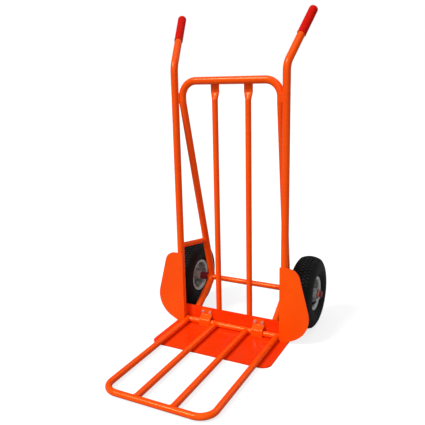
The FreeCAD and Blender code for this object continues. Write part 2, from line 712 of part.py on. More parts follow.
def tube_section(growth):
    """Oval section of the blown-up inner tube, grown outwards by a given amount."""
    top = wheel_radius - TYRE_CROWN_WALL - RUNNING_GAP
    bottom = RIM_SEAT_RADIUS + TUBE_SQUEEZE
    tall = (top - bottom) / 2 + growth
    wide = TYRE_WIDTH / 2 - TYRE_WALL - TUBE_SQUEEZE + growth
    centre = point(0, 0, (top + bottom) / 2)
    if tall > wide:
        oval = Part.Ellipse(centre + Z_AXIS * tall, centre + X_AXIS * wide, centre)
    else:
        oval = Part.Ellipse(centre + X_AXIS * wide, centre + Z_AXIS * tall, centre)
    return Part.Face(Part.Wire(oval.toShape()))


def tube_solid(growth):
    return tube_section(growth).revolve(ORIGIN, X_AXIS, 360)


def inner_tube():
    """Hollow rubber ring inside the tyre."""
    return tube_solid(0).cut(tube_solid(-TUBE_WALL))


def valve_axis():
    """Foot of the valve on the rim seat, below the axle, and its direction out of the bowl."""
    foot = point(VALVE_SEAT_X, 0, -RIM_SEAT_RADIUS)
    return foot, unit(point(1, 0, 1))


def valve_stem():
    """Rubber-covered stem from the inner tube through the rim, with a thinner threaded end."""
    foot, along = valve_axis()
    start = foot - along * VALVE_STEM_DIAMETER
    neck = foot + along * (VALVE_STEM_LENGTH - VALVE_CAP_LENGTH)
    stem = rod(start, neck, VALVE_STEM_DIAMETER / 2).cut(tube_solid(WELD_GAP))
    tip = rod(neck, foot + along * (VALVE_STEM_LENGTH - VALVE_CAP_TOP), VALVE_CAP_BORE / 2)
    return stem.fuse(tip)


def valve_cap():
    foot, along = valve_axis()
    start = foot + along * (VALVE_STEM_LENGTH - VALVE_CAP_LENGTH + WELD_GAP)
    end = foot + along * (VALVE_STEM_LENGTH + WELD_GAP)
    cap = rod(start, end, VALVE_STEM_DIAMETER / 2)
    bore_end = end - along * VALVE_CAP_TOP
    return cap.cut(rod(start, bore_end, VALVE_CAP_BORE / 2 + SLIP_FIT))


def valve_hole():
    foot, along = valve_axis()
    reach = along * VALVE_STEM_DIAMETER * 2
    return rod(foot - reach, foot + reach, VALVE_STEM_DIAMETER / 2 + HOLE_CLEARANCE)


def hub():
    """Steel tube through both rim halves that holds the bearings."""
    half = X_AXIS * HUB_LENGTH / 2
    return ring(ORIGIN - half, ORIGIN + half, hub_radius, hub_bore_radius)


def roller_places():
    """Ends of the rollers nearest the hub's middle, around the axle."""
    places = []
    pitch_radius = (hub_bore_radius + axle_radius) / 2
    start = HUB_LENGTH / 2 - CAGE_LENGTH + (CAGE_LENGTH - ROLLER_LENGTH) / 2
    for index in range(ROLLER_COUNT):
        angle = math.radians(360 * index / ROLLER_COUNT)
        places.append(point(start, pitch_radius * math.sin(angle), pitch_radius * math.cos(angle)))
    return places


def bearing_rollers():
    """Rollers of the outer bearing, running between the axle and the hub's bore."""
    run = X_AXIS * ROLLER_LENGTH
    return [rod(place, place + run, ROLLER_DIAMETER / 2) for place in roller_places()]


def bearing_cage():
    """Plastic cage of the outer bearing, with a flange that covers the end of the hub."""
    clearance = RUNNING_GAP
    outer_radius = hub_bore_radius - clearance
    inner_radius = axle_radius + clearance
    end = HUB_LENGTH / 2
    body = rod(X_AXIS * (end - CAGE_LENGTH), X_AXIS * end, outer_radius)
    flange = rod(X_AXIS * end, X_AXIS * cage_end_x, hub_radius - CAGE_FLANGE_INSET)
    rim_edge = [edge for edge in flange.Edges if abs(edge.CenterOfMass.x - cage_end_x) < 0.01]
    flange = flange.makeFillet(CAGE_FLANGE_THICKNESS / 2, rim_edge)
    cage = body.fuse(flange).cut(rod(ORIGIN, X_AXIS * HUB_LENGTH, inner_radius))
    pockets = []
    for place in roller_places():
        start = place - X_AXIS * clearance
        end_place = place + X_AXIS * (ROLLER_LENGTH + clearance)
        pockets.append(rod(start, end_place, ROLLER_DIAMETER / 2 + clearance))
    return cage.cut(pockets)


def wheel_nodes():
    """Every piece of the right wheel by name, standing on the floor in its place on the axle."""
    outer_rim = rim_half()
    places = rim_bolt_places()
    cage = bearing_cage()
    rollers = bearing_rollers()
    nodes = {
        "tyre": [tyre()],
        "inner_tube": [inner_tube()],
        "rim_outer": [outer_rim.cut(valve_hole())],
        "rim_inner": [mirrored(outer_rim)],
        "rim_bolts": [rim_bolt(place) for place in places],
        "rim_nuts": [rim_nut(place) for place in places],
        "hub": [hub()],
        "bearing_cages": [cage, mirrored(cage)],
        "bearing_rollers": rollers + [mirrored(roller) for roller in rollers],
        "valve_stem": [valve_stem()],
        "valve_cap": [valve_cap()],
    }
    for solids in nodes.values():
        for solid in solids:
            solid.translate(axle_centre(wheel_x))
    return nodes


def export(name, solids):
    """Write one node's solids to its STEP file."""
    shape = solids[0] if len(solids) == 1 else Part.makeCompound(solids)
    shape.exportStep("parts/" + name + ".step")


def export_pair(name, solids):
    """Write a node for the right side and its mirror image for the left side."""
    export(name + "_right", solids)
    export(name + "_left", [mirrored(solid) for solid in solids])


def main():
    os.makedirs("parts", exist_ok=True)

    export("hoop_brace", [hoop_brace()])
    export("toe_plate", [toe_plate()])
    export("axle", [axle()])
    export("fork_loop", [fork_loop()])
    export("fork_crossbar", [fork_crossbar()])

    export_pair("upright", [upright()])
    export_pair("grip", [grip()])
    export_pair("frame_bar", [frame_bar()])
    export_pair("side_strut", [side_strut()])
    export_pair("wheel_guard", [wheel_guard()])
    export_pair("hinge_bracket", [hinge_bracket()])
    export_pair("hinge_bolts", [hinge_bolt(place) for place in bolt_places()])
    export_pair("hinge_nuts", [hinge_nut(place) for place in bolt_places()])
    export_pair("fork_bar", [fork_bar()])
    export_pair("axle_spacer", [axle_spacer()])
    export_pair("axle_washer", [axle_washer()])
    export_pair("split_pin", [split_pin()])
    export_pair("axle_cap", [axle_cap()])
    for name, solids in wheel_nodes().items():
        export_pair(name, solids)


main()
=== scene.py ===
import json
import math

import bmesh
import bpy
from mathutils import Matrix, Vector


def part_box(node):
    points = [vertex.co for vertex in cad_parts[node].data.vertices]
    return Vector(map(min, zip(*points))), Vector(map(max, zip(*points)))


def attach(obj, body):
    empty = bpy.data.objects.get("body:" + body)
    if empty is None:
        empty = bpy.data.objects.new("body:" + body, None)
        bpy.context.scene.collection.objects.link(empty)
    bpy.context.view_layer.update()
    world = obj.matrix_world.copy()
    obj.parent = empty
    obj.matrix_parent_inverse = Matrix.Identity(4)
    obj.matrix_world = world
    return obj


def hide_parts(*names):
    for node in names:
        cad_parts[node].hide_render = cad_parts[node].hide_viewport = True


# Looks for the two-wheeled sack truck with a folding fork. Metres, +Z up, +X to the truck's right.

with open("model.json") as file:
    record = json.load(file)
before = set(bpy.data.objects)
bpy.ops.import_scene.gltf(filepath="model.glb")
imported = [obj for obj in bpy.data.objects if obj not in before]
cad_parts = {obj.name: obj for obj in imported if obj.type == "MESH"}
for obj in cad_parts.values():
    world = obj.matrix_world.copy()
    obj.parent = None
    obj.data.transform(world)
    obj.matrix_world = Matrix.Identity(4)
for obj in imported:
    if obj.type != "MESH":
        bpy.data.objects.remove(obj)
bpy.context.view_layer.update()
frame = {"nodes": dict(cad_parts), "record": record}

SIDES = {"left": -1, "right": 1}

# Camera
CAMERA_PLACE = (0.7533, -1.594, 0.8814)
CAMERA_YAW = math.radians(27.2)
CAMERA_PITCH = math.radians(-14.1)
CAMERA_ROLL = math.radians(-1.31)
CAMERA_LENS = 45.28
SENSOR_WIDTH = 36.0

# Tyre section
BEAD_INSET = 0.0023
BEAD_CLEARANCE = 0.0006
BEAD_DEPTH = 0.0095
BEAD_SEAT_DEPTH = 0.0092
BEAD_CORNER = ((0.0, 0.0053), (0.0016, 0.0016), (0.0053, 0.0))
WIDEST_RISE = 0.0003
CROWN_LINING_RISE = 0.0016
INNER_WALL_STEPS = 8

# Tyre tread
LUG_COUNT = 60
TREAD_DEPTH = 0.0046
SHOULDER_HALF_WIDTH = 0.029
SHOULDER_DROP = 0.0065
TYRE_WALL = 0.0065
CROWN_WALL = 0.008
BEAD_WIDTH = 0.011
LUG_LINES = (0.0, 0.06, 0.20, 0.26, 0.50, 0.56, 0.70, 0.76)
LUG_START = 0.05
LUG_END = 0.71
LUG_FADE_START = 0.028
LUG_FADE_END = 0.044
LUG_FADE_MARGIN = 0.002
SIDEWALL_RIB = 0.0005
TREAD_ROWS = (
    ("crown", (0.0, 0.0031, 0.0062)),
    ("groove", (0.0070, 0.0084)),
    ("middle", (0.0092, 0.0135, 0.0178)),
    ("groove", (0.0186, 0.0204)),
    ("shoulder", (0.0212, 0.0255, 0.0335, 0.0370, 0.0410)),
)
WALL_START = 0.0428
WALL_STATIONS = (0.045, 0.038, 0.032, 0.0195, 0.007, 0.0)
RIB_STATIONS = (0.0245, 0.0150)
RIB_PROFILE = ((0.0, 0.0), (0.0006, 1.0), (0.0022, 1.0), (0.0028, 0.0))

# Rims: the dish's painted shade is full at the first inset below the flange's radius and gone at the second
RIM_BRIGHT_BAND = 0.013
RIM_BRIGHT_EDGE = 0.007

# Grips
GRIP_RADIUS = 0.01475
GRIP_LIP_DEPTH = 0.0004
GRIP_LIP_LENGTH = 0.0035
GRIP_LIP_STEP = 0.0006
GRIP_LIP_ROUND = ((0.0, 0.0008), (0.0003, 0.0002), (0.0009, 0.0))
GRIP_BORE_DEPTH = 0.030
GRIP_BORE_CLEARANCE = 0.00005
GRIP_FLUTE_COUNT = 30
GRIP_FLUTE_DEPTH = 0.00045
GRIP_FLUTE_FADE = 0.006
GRIP_FLUTE_START_GAP = 0.002
GRIP_FLUTE_END_GAP = 0.008
GRIP_FLUTE_STEPS = 24
GRIP_END_RADIUS = 0.009
GRIP_END_STEPS = 12
GRIP_TIP_DIMPLE = ((0.0, 0.0030), (0.0005, 0.0022), (0.0005, 0.0001))
GRIP_SEGMENTS = 240

# Studio
FLOOR_REACH = 60.0
FLOOR_SHADE = 0.32
FLOOR_GLOW = 0.76
WORLD_FILL = 0.30
WORLD_REFLECTION = 0.08
LIGHTS = (
    ("key", -32.0, 46.0, 2.4, 18.0),
    ("front_fill", 25.0, 20.0, 0.60, 50.0),
    ("top", 0.0, 86.0, 0.6, 60.0),
    ("rear", 150.0, 40.0, 0.4, 40.0),
)

# Paint
PAINT_GLEAM = (1.0, 0.58, 0.22, 1.0)
ORANGE = (0.99, 0.088, 0.0013)
ORANGE_DARK = (0.95, 0.072, 0.0011)

# Weld beads
WELD_RADIUS = 0.0024
FORK_WELD_RADIUS = 0.0021
FORK_WELD_INSET = 0.0045
WELD_SINK = 0.35
WELD_RIPPLE = 0.16
WELD_RIPPLE_PITCH = 0.0024
WELD_STEP = 0.0006
WELD_SIDES = 10
WELD_END_SIZE = 0.45
WELD_END_LENGTH = 1.5
WELD_END_GAP = 0.002
WELD_GAP = 0.0002
FRAME_TUBE_RADIUS = 0.0125
BAR_TUBE_RADIUS = 0.010
FOOT_WELD_RADIUS = 0.0018
FLANGE_WELD_PLACES = ((0.0058, 0.0124), (0.0091, 0.0096))
FLANGE_WELD_START = 0.003
FLAT_WELD_INSET = 0.001
HOOP_WELD_RADIUS = 0.0034
HOOP_WELD_BOTTOM = 0.802
HOOP_WELD_TOP = 0.835
GUARD_WELD_SHARES = (0.12, 0.5, 0.86)
GUARD_WELD_REACH = 0.014
GUARD_FOOT_WELD_START = 0.004
GUARD_FOOT_WELD_LENGTH = 0.014


# ---------------------------------------------------------------- meshes

def new_piece(name, vertices, faces, material, body, sharp_angle=35):
    """Mesh object in the truck's frame that rides on a body and wears one material."""
    mesh = bpy.data.meshes.new(name)
    mesh.from_pydata(vertices, [], faces)
    mesh.validate()
    mesh.polygons.foreach_set("use_smooth", [True] * len(mesh.polygons))
    mesh.set_sharp_from_angle(angle=math.radians(sharp_angle))
    mesh.materials.append(material)
    piece = bpy.data.objects.new(name, mesh)
    bpy.context.scene.collection.objects.link(piece)
    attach(piece, body)
    return piece


def grid_faces(rows, columns, wrap_rows, wrap_columns):
    """Quads over a grid of vertices that are numbered row by row."""
    faces = []
    for row in range(rows if wrap_rows else rows - 1):
        for column in range(columns if wrap_columns else columns - 1):
            next_row = (row + 1) % rows
            next_column = (column + 1) % columns
            faces.append((row * columns + column, row * columns + next_column,
                          next_row * columns + next_column, next_row * columns + column))
    return faces


def edge_loops(node, least_angle=9):
    """Closed loops of sharp edges on a CAD node, the longest first, as lists of points."""
    mesh = bmesh.new()
    mesh.from_mesh(frame["nodes"][node].data)
    bmesh.ops.remove_doubles(mesh, verts=mesh.verts, dist=2e-6)
    mesh.verts.index_update()
    mesh.normal_update()
    places = [vertex.co.copy() for vertex in mesh.verts]
    links = {}
    for edge in mesh.edges:
        if len(edge.link_faces) == 2 and edge.calc_face_angle() > math.radians(least_angle):
            first, second = [vertex.index for vertex in edge.verts]
            links.setdefault(first, []).append(second)
            links.setdefault(second, []).append(first)
    mesh.free()
    seen = set()
    loops = []
    for start in links:
        if start in seen:
            continue
        chain = [start]
        seen.add(start)
        while True:
            onward = [index for index in links[chain[-1]] if index not in seen]
            if not onward:
                break
            seen.add(onward[0])
            chain.append(onward[0])
        if len(chain) > 2 and start in links[chain[-1]]:
            loops.append([places[index] for index in chain])
    return sorted(loops, key=path_length, reverse=True)


def path_length(path):
    return sum((after - before).length for before, after in zip(path, path[1:]))


def path_centre(path):
    return sum(path, Vector()) / len(path)


def resampled(path, closed):
    """The same path with points at an even step."""
    points = path + [path[0]] if closed else path
    total = path_length(points)
    count = max(4, round(total / WELD_STEP))
    result = []
    segment = 0
    walked = 0.0
    for index in range(count if closed else count + 1):
        target = total * index / count
        while segment < len(points) - 2 and walked + (points[segment + 1] - points[segment]).length < target:
            walked += (points[segment + 1] - points[segment]).length
            segment += 1
        span = points[segment + 1] - points[segment]
        share = (target - walked) / span.length if span.length else 0
        result.append(points[segment] + span * min(share, 1))
    return result


# ---------------------------------------------------------------- materials

class Finish:
    """One procedural material, with short calls for the nodes that it is made of."""

    def __init__(self, name):
        self.material = bpy.data.materials.new(name)
        self.material.use_nodes = True
        self.tree = self.material.node_tree
        self.shader = self.tree.nodes["Principled BSDF"]
        self.place = self.node("ShaderNodeTexCoord").outputs["Object"]
        self.normal = None

    def node(self, kind, **inputs):
        made = self.tree.nodes.new(kind)
        for name, value in inputs.items():
            self.put(made.inputs[name.replace("_", " ")], value)
        return made

    def put(self, socket, value):
        if isinstance(value, bpy.types.NodeSocket):
            self.tree.links.new(value, socket)
        else:
            socket.default_value = value

    def set(self, **inputs):
        for name, value in inputs.items():
            self.put(self.shader.inputs[name.replace("_", " ")], value)

    def noise(self, scale, detail=3.0, roughness=0.5, stretch=None):
        place = self.place
        if stretch:
            place = self.node("ShaderNodeMapping", Vector=place, Scale=stretch).outputs["Vector"]
        made = self.node("ShaderNodeTexNoise", Vector=place, Scale=scale, Detail=detail,
                         Roughness=roughness)
        return made.outputs["Fac"]

    def spots(self, scale, randomness=1.0):
        made = self.node("ShaderNodeTexVoronoi", Vector=self.place, Scale=scale,
                         Randomness=randomness)
        return made.outputs["Distance"]

    def span(self, value, from_low, from_high, to_low, to_high):
        made = self.node("ShaderNodeMapRange", Value=value, From_Min=from_low, From_Max=from_high,
                         To_Min=to_low, To_Max=to_high)
        return made.outputs["Result"]

    def times(self, first, second):
        made = self.tree.nodes.new("ShaderNodeMath")
        made.operation = "MULTIPLY"
        self.put(made.inputs[0], first)
        self.put(made.inputs[1], second)
        return made.outputs["Value"]

    def mix(self, share, first, second):
        made = self.tree.nodes.new("ShaderNodeMix")
        made.data_type = "RGBA"
        self.put(made.inputs["Factor"], share)
        self.put(made.inputs["A"], (*first, 1) if isinstance(first, tuple) else first)
        self.put(made.inputs["B"], (*second, 1) if isinstance(second, tuple) else second)
        return made.outputs["Result"]

    def vector_step(self, operation, first, second=None):
        made = self.tree.nodes.new("ShaderNodeVectorMath")
        made.operation = operation
        self.put(made.inputs[0], first)
        if second is not None:
            self.put(made.inputs[1], second)
        return made.outputs["Value" if operation in ("LENGTH", "DOT_PRODUCT") else "Vector"]

    def from_axle(self):
        """Distance of a point from the wheels' common axis."""
        low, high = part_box("axle")
        arm = self.vector_step("SUBTRACT", self.place, tuple((low + high) / 2))
        return self.vector_step("LENGTH", self.vector_step("MULTIPLY", arm, (0.0, 1.0, 1.0)))

    def bump(self, height, strength, distance):
        inputs = {"Height": height, "Strength": strength, "Distance": distance}
        if self.normal:
            inputs["Normal"] = self.normal
        self.normal = self.node("ShaderNodeBump", **inputs).outputs["Normal"]
        self.set(Normal=self.normal)

    def edges(self, radius):
        """Mask that is one along sharp edges and nothing on flat or round faces."""
        soft = self.tree.nodes.new("ShaderNodeBevel")
        soft.samples = 4
        soft.inputs["Radius"].default_value = radius
        flat = self.node("ShaderNodeNewGeometry").outputs["Normal"]
        facing = self.vector_step("DOT_PRODUCT", soft.outputs["Normal"], flat)
        return self.span(facing, 0.97, 0.80, 0.0, 1.0)


def paint(name, colour, dark, roughness, scuffs=0.0, edge_radius=0.0):
    """Gloss powder coat with orange peel, faint colour drift, and optional scuffs and worn edges."""
    finish = Finish(name)
    drift = finish.span(finish.noise(7.0, 4.0), 0.35, 0.65, 0.0, 1.0)
    base = finish.mix(drift, colour, dark)
    rough = finish.span(finish.noise(38.0, 5.0, 0.6), 0.3, 0.7, roughness - 0.04, roughness + 0.06)
    if scuffs:
        streaks = finish.noise(55.0, 6.0, 0.65, stretch=(1.0, 0.12, 1.0))
        worn = finish.times(finish.span(streaks, 0.60, 0.72, 0.0, 1.0), scuffs)
        base = finish.mix(worn, base, tuple(0.55 * part + 0.10 for part in colour))
        rough = finish.mix(worn, rough, (0.55, 0.55, 0.55))
    if edge_radius:
        patchy = finish.span(finish.noise(160.0, 4.0), 0.45, 0.62, 0.0, 0.55)
        chips = finish.times(finish.edges(edge_radius), patchy)
        base = finish.mix(chips, base, (0.36, 0.10, 0.04))
    finish.set(Base_Color=base, Roughness=rough, Coat_Weight=0.06, Coat_Roughness=0.12,
               Specular_IOR_Level=0.45, Specular_Tint=PAINT_GLEAM)
    finish.bump(finish.noise(420.0, 2.0), 0.06, 0.0006)
    finish.bump(finish.noise(2600.0, 2.0), 0.05, 0.0002)
    return finish.material


def steel(name, colour, dark, roughness, grain=(1.0, 1.0, 1.0), metallic=1.0):
    """Zinc plated or bare steel: cloudy plating, fine grain and a few dull spots."""
    finish = Finish(name)
    cloud = finish.span(finish.noise(60.0, 6.0, 0.6), 0.35, 0.65, 0.0, 1.0)
    base = finish.mix(cloud, colour, dark)
    spangle = finish.span(finish.spots(420.0), 0.0, 0.8, 0.0, 0.35)
    base = finish.mix(spangle, base, tuple(0.75 * part for part in dark))
    rough = finish.span(finish.noise(140.0, 5.0, 0.6), 0.3, 0.7, roughness - 0.08, roughness + 0.12)
    finish.set(Base_Color=base, Roughness=rough, Metallic=metallic)
    finish.bump(finish.noise(900.0, 4.0, 0.6, stretch=grain), 0.12, 0.0004)
    return finish.material


def rim_steel(name, bright, dish_shade_and_spangle_grey, roughness):
    """Zinc plated rim: bright flange, and a dish darkened by painted shade of its recess in uneven blotches,
    with zinc spangle spots.
    """
    finish = Finish(name)
    flange_radius = (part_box("rim_outer_left")[1].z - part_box("rim_outer_left")[0].z) / 2
    # painted shade: the dish inside the flange is darkened towards the axle, as the shade in its recess
    dish = finish.span(finish.from_axle(), flange_radius - RIM_BRIGHT_BAND, flange_radius - RIM_BRIGHT_EDGE,
                       1.0, 0.0)
    # uneven blotches in the strength of the painted shade
    blotchy_shade = finish.span(finish.noise(75.0, 5.0, 0.6), 0.36, 0.60, 0.25, 1.0)
    base = finish.mix(finish.times(dish, blotchy_shade), bright, dish_shade_and_spangle_grey)
    spangle = finish.span(finish.spots(420.0), 0.0, 0.8, 0.0, 0.30)
    base = finish.mix(spangle, base, dish_shade_and_spangle_grey)
    rough = finish.span(finish.noise(140.0, 5.0, 0.6), 0.3, 0.7, roughness - 0.08, roughness + 0.12)
    finish.set(Base_Color=base, Roughness=rough, Metallic=0.30)
    finish.bump(finish.noise(70.0, 4.0, 0.6), 0.20, 0.0008)
    finish.bump(finish.noise(900.0, 4.0, 0.6), 0.12, 0.0004)
    return finish.material


def rubber(name, colour, dusty, roughness, dust=0.5, gloss=0.3, tint=(1.0, 1.0, 1.0),
           grain=1500.0):
    """Moulded rubber with a fine matt grain and a little dust in the low places."""
    finish = Finish(name)
    patches = finish.span(finish.noise(45.0, 6.0, 0.65), 0.45, 0.75, 0.0, dust)
    base = finish.mix(patches, colour, dusty)
    rough = finish.span(finish.noise(120.0, 5.0, 0.6), 0.3, 0.7, roughness - 0.07, roughness + 0.08)
    finish.set(Base_Color=base, Roughness=rough, Specular_IOR_Level=gloss,
               Specular_Tint=(*tint, 1.0))
    finish.bump(finish.noise(grain, 3.0, 0.6), 0.22, 0.0004)
    finish.bump(finish.noise(190.0, 3.0), 0.10, 0.0008)
    return finish.material


def plastic(name, colour, dark, roughness):
    """Moulded plastic with a soft mottled colour and a fine spark-eroded texture."""
    finish = Finish(name)
    base = finish.mix(finish.span(finish.noise(90.0, 4.0), 0.35, 0.65, 0.0, 1.0), colour, dark)
    rough = finish.span(finish.noise(260.0, 4.0), 0.3, 0.7, roughness - 0.06, roughness + 0.08)
    finish.set(Base_Color=base, Roughness=rough, Specular_IOR_Level=0.5)
    finish.bump(finish.noise(2200.0, 2.0), 0.15, 0.0003)
    return finish.material


MATERIALS = {
    "frame_paint": paint("orange_frame_paint", ORANGE, ORANGE_DARK, 0.26),
    "fork_paint": paint("orange_fork_paint", ORANGE, ORANGE_DARK, 0.26, scuffs=0.10),
    "guard_paint": paint("orange_guard_paint", ORANGE, ORANGE_DARK, 0.30, edge_radius=0.0007),
    # painted shade: the toe plate gets a darker, redder copy of the frame orange; its scuffs and chipped
    # edges are wear
    "plate_paint": paint("orange_plate_paint_with_painted_shade", (0.88, 0.040, 0.0009), (0.82, 0.033, 0.0007), 0.20,
                         scuffs=0.16, edge_radius=0.0008),
    "grip_rubber": rubber("red_grip_rubber", (0.60, 0.0042, 0.0008), (0.52, 0.006, 0.0014), 0.48,
                          dust=0.30, gloss=0.14, tint=(1.0, 0.35, 0.20), grain=1900.0),
    "tyre_rubber": rubber("black_tyre_rubber", (0.0050, 0.0050, 0.0052), (0.013, 0.0125, 0.012), 0.60,
                          dust=0.40, gloss=0.22),
    "tube_rubber": rubber("black_tube_rubber", (0.014, 0.014, 0.015), (0.05, 0.05, 0.05), 0.6),
    # rim: the dark grey is painted shade for the dish's recess, and also the colour of the zinc spangle spots
    "rim_steel": rim_steel("zinc_rim_steel", (0.78, 0.80, 0.77), (0.13, 0.135, 0.12), 0.30),
    "hub_steel": steel("bright_hub_steel", (0.80, 0.81, 0.80), (0.66, 0.67, 0.66), 0.30,
                       grain=(0.1, 1.0, 1.0), metallic=0.6),
    "zinc_hardware": steel("zinc_fastener_steel", (0.80, 0.80, 0.77), (0.64, 0.64, 0.61), 0.26,
                           metallic=0.7),
    "bearing_plastic": plastic("dark_red_nylon", (0.24, 0.011, 0.020), (0.17, 0.009, 0.015), 0.40),
    "valve_plastic": plastic("black_cap_plastic", (0.015, 0.015, 0.016), (0.03, 0.03, 0.03), 0.42),
}


def dress_frame():
    """Gives every CAD node the finish of its material slot."""
    for part in frame["record"]["subparts"]:
        node = frame["nodes"][part["node"]]
        node.data.materials.clear()
        node.data.materials.append(MATERIALS[part["material_slot"]])


# ---------------------------------------------------------------- tyres

def circle_through(first, second, third):
    """Centre of the circle through three places in the section plane."""
    (ax, ay), (bx, by), (cx, cy) = first, second, third
    scale = 2 * (ax * (by - cy) + bx * (cy - ay) + cx * (ay - by))
    a, b, c = ax * ax + ay * ay, bx * bx + by * by, cx * cx + cy * cy
    x = (a * (by - cy) + b * (cy - ay) + c * (ay - by)) / scale
    y = (a * (cx - bx) + b * (ax - cx) + c * (bx - ax)) / scale
    return x, y


class SectionArc:
    """Arc of a tyre section through three (along, radius) places, walked by its length."""

    def __init__(self, first, second, third):
        self.x, self.y = circle_through(first, second, third)
        self.radius = math.hypot(first[0] - self.x, first[1] - self.y)
        self.start = math.atan2(first[1] - self.y, first[0] - self.x)
        end = math.atan2(third[1] - self.y, third[0] - self.x)
        self.turn = (end - self.start + math.pi) % (2 * math.pi) - math.pi
        self.length = abs(self.turn) * self.radius

    def at(self, distance):
        """Place and outward direction at a distance along the arc."""
        angle = self.start + self.turn * distance / self.length
        out = (math.cos(angle), math.sin(angle))
        return (self.x + self.radius * out[0], self.y + self.radius * out[1]), out


def tread_columns(crown, wall):
    """(distance, row, rib height) stations from the tread's middle to the bead's outside."""
    columns = [(crown.length, "shoulder", 0.0)]
    for row, distances in TREAD_ROWS:
        columns += [(distance, row, 0.0) for distance in distances]
    columns += [(WALL_START, "wall", 0.0), (LUG_FADE_END + LUG_FADE_MARGIN, "wall", 0.0)]
    total = crown.length + wall.length
    columns += [(total - back, "wall", 0.0) for back in WALL_STATIONS]
    for back in RIB_STATIONS:
        columns += [(total - back + step, "wall", height * SIDEWALL_RIB) for step, height in RIB_PROFILE]
    return sorted(columns)


def lug_height(row, share):
    """One on top of a block and nothing in a groove, at a share of the block pitch."""
    if row in ("crown", "shoulder"):
        return 1.0 if LUG_START < share < LUG_END else 0.0
    if row == "middle":
        return 1.0 if LUG_START < (share + 0.5) % 1.0 < LUG_END else 0.0
    return 0.0


def groove_depth(distance):
    fade = (LUG_FADE_END - distance) / (LUG_FADE_END - LUG_FADE_START)
    return TREAD_DEPTH * max(0.0, min(1.0, fade))


def tyre(side):
    """Tyre with rows of staggered blocks, ribbed side walls, beads and a hollow inside."""
    low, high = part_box("tyre_" + side)
    centre = (low + high) / 2
    radius = (high.z - low.z) / 2
    half = (high.x - low.x) / 2
    rim_low, rim_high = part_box("rim_outer_" + side)
    flange_radius = (rim_high.z - rim_low.z) / 2
    bead_x = max(abs(rim_low.x - centre.x), abs(rim_high.x - centre.x)) - BEAD_INSET
    shoulder = (SHOULDER_HALF_WIDTH, radius - SHOULDER_DROP)
    widest_radius = (radius + flange_radius - BEAD_DEPTH) / 2 + WIDEST_RISE
    edge = (bead_x, flange_radius + BEAD_CLEARANCE)
    crown = SectionArc((0.0, radius), shoulder, (-shoulder[0], shoulder[1]))
    crown.turn = -math.asin(SHOULDER_HALF_WIDTH / crown.radius)
    crown.length = abs(crown.turn) * crown.radius
    wall = SectionArc(shoulder, (half, widest_radius), edge)
    section = []
    for distance, row, rib in tread_columns(crown, wall):
        if distance <= crown.length:
            place, out = crown.at(distance)
        else:
            place, out = wall.at(distance - crown.length)
        section.append((place, out, row, groove_depth(distance), rib))
    toe_x = bead_x - BEAD_WIDTH
    seat = flange_radius - BEAD_SEAT_DEPTH
    inner_wall = SectionArc((toe_x + TYRE_WALL / 2, flange_radius - TYRE_WALL / 2),
                            (half - TYRE_WALL, widest_radius),
                            (SHOULDER_HALF_WIDTH - TYRE_WALL, radius - SHOULDER_DROP - CROWN_WALL))
    plain = [(bead_x - inset, seat + rise) for inset, rise in BEAD_CORNER]
    plain.append((toe_x, seat))
    plain += [inner_wall.at(inner_wall.length * step / INNER_WALL_STEPS)[0]
              for step in range(INNER_WALL_STEPS + 1)]
    plain.append((SHOULDER_HALF_WIDTH / 3, radius - CROWN_WALL - CROWN_LINING_RISE))
    for place in plain:
        section.append((place, (0.0, 0.0), "inside", 0.0, 0.0))
    mirror = [((-place[0], place[1]), (-out[0], out[1]), *rest) for place, out, *rest in section]
    section = section + mirror[:0:-1]

    vertices = []
    for lug in range(LUG_COUNT):
        for share in LUG_LINES:
            angle = 2 * math.pi * (lug + share) / LUG_COUNT
            for (along, reach), out, row, depth, rib in section:
                rise = rib - depth * (1 - lug_height(row, share))
                x = along + out[0] * rise
                r = reach + out[1] * rise
                vertices.append((centre.x + x, centre.y + r * math.sin(angle),
                                 centre.z + r * math.cos(angle)))
    faces = grid_faces(LUG_COUNT * len(LUG_LINES), len(section), True, True)
    piece = new_piece("tread_tyre_" + side, vertices, faces, MATERIALS["tyre_rubber"],
                      "wheel_" + side, sharp_angle=28)
    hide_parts("tyre_" + side)


# ---------------------------------------------------------------- grips

def grip_profile(length, bore_radius):
    """(along, radius, flute share) stations from the bore's open end, over the outside, to the tip."""
    body = GRIP_RADIUS - GRIP_LIP_DEPTH
    lip = GRIP_LIP_LENGTH
    profile = [(GRIP_BORE_DEPTH, bore_radius, 0.0), (0.0, bore_radius, 0.0)]
    profile += [(along, GRIP_RADIUS - drop, 0.0) for along, drop in GRIP_LIP_ROUND]
    profile += [(lip, GRIP_RADIUS, 0.0), (lip + GRIP_LIP_STEP, body, 0.0)]
    flute_start = lip + GRIP_FLUTE_START_GAP
    flute_end = length - GRIP_END_RADIUS - GRIP_FLUTE_END_GAP
    for step in range(GRIP_FLUTE_STEPS + 1):
        along = flute_start + (flute_end - flute_start) * step / GRIP_FLUTE_STEPS
        fade = min(1.0, (along - flute_start) / GRIP_FLUTE_FADE, (flute_end - along) / GRIP_FLUTE_FADE)
        profile.append((along, body, math.sin(max(fade, 0.0) * math.pi / 2)))
    for step in range(GRIP_END_STEPS + 1):
        angle = math.pi / 2 * step / GRIP_END_STEPS
        profile.append((length - GRIP_END_RADIUS + GRIP_END_RADIUS * math.sin(angle),
                        body - GRIP_END_RADIUS + GRIP_END_RADIUS * math.cos(angle), 0.0))
    profile += [(length - sink, radius, 0.0) for sink, radius in GRIP_TIP_DIMPLE]
    return profile


